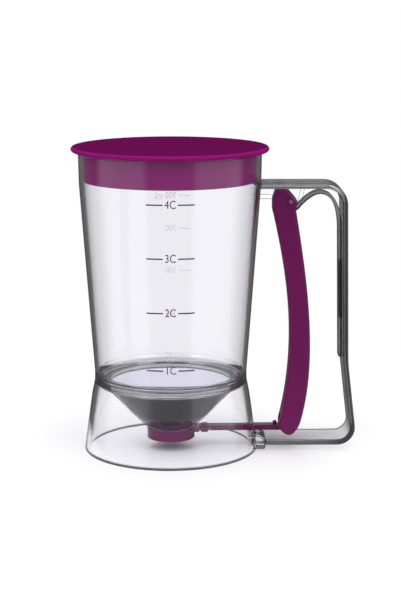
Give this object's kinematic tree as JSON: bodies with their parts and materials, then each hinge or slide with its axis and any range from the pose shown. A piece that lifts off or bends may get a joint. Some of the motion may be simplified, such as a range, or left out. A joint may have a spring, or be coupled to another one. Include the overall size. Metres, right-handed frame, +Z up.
{
  "type": "pancake batter dispenser",
  "caption": "Clear tapered jug with a funnel floor, lift-off lid, strap handle and a spring trigger that slides open a gate at the outlet.",
  "frame": {"origin": "on the jug's axis, in the plane the base ring stands on", "axes": "+Z up along the jug's axis, +X from the jug to the handle, -Y the printed front"},
  "size_m": [0.1709, 0.118, 0.185],
  "materials": {
    "clear_plastic": "clear, polished",
    "purple_plastic": "glossy",
    "dark_purple_plastic": "glossy",
    "pale_pin_plastic": "satin",
    "soft_seal": "soft, translucent"
  },
  "bodies": {
    "jug": {"jug_body": "clear_plastic", "funnel": "clear_plastic", "base_skirt": "clear_plastic", "handle_strap": "clear_plastic", "handle_lug": "clear_plastic", "pivot_cheek_near": "clear_plastic", "pivot_cheek_far": "clear_plastic", "pivot_pin": "pale_pin_plastic", "leaf_spring": "clear_plastic", "spring_rail_near": "clear_plastic", "spring_rail_far": "clear_plastic", "outlet_cap": "purple_plastic", "outlet_seal": "soft_seal"},
    "trigger_lever": {"trigger": "purple_plastic", "pivot_bush": "purple_plastic", "link_pin": "purple_plastic"},
    "gate": {"gate_plate": "purple_plastic", "link_bar": "dark_purple_plastic", "gate_rivet": "dark_purple_plastic", "stop_knob": "dark_purple_plastic"},
    "lid_cap": {"lid": "purple_plastic"}
  },
  "joints": [
    {"name": "trigger_pivot", "type": "hinge", "parent": "jug", "child": "trigger_lever", "pos_m": [0.0715, 0, 0.1525], "axis": [0, -1, 0], "range_deg": [0, 8.8], "stiffness_Nm_per_rad": 1.5, "springref_deg": -11.46, "deforming": ["leaf_spring"]},
    {"name": "gate_slide", "type": "slide", "parent": "jug", "child": "gate", "axis": [1, 0, 0], "range_m": [0, 0.0216]},
    {"name": "lid_lift", "type": "slide", "parent": "jug", "child": "lid_cap", "axis": [0, 0, 1], "range_m": [0, 0.1]}
  ],
  "couplings": [
    {"joint": "gate_slide", "follows": "trigger_pivot", "m_per_rad": 0.1402}
  ]
}
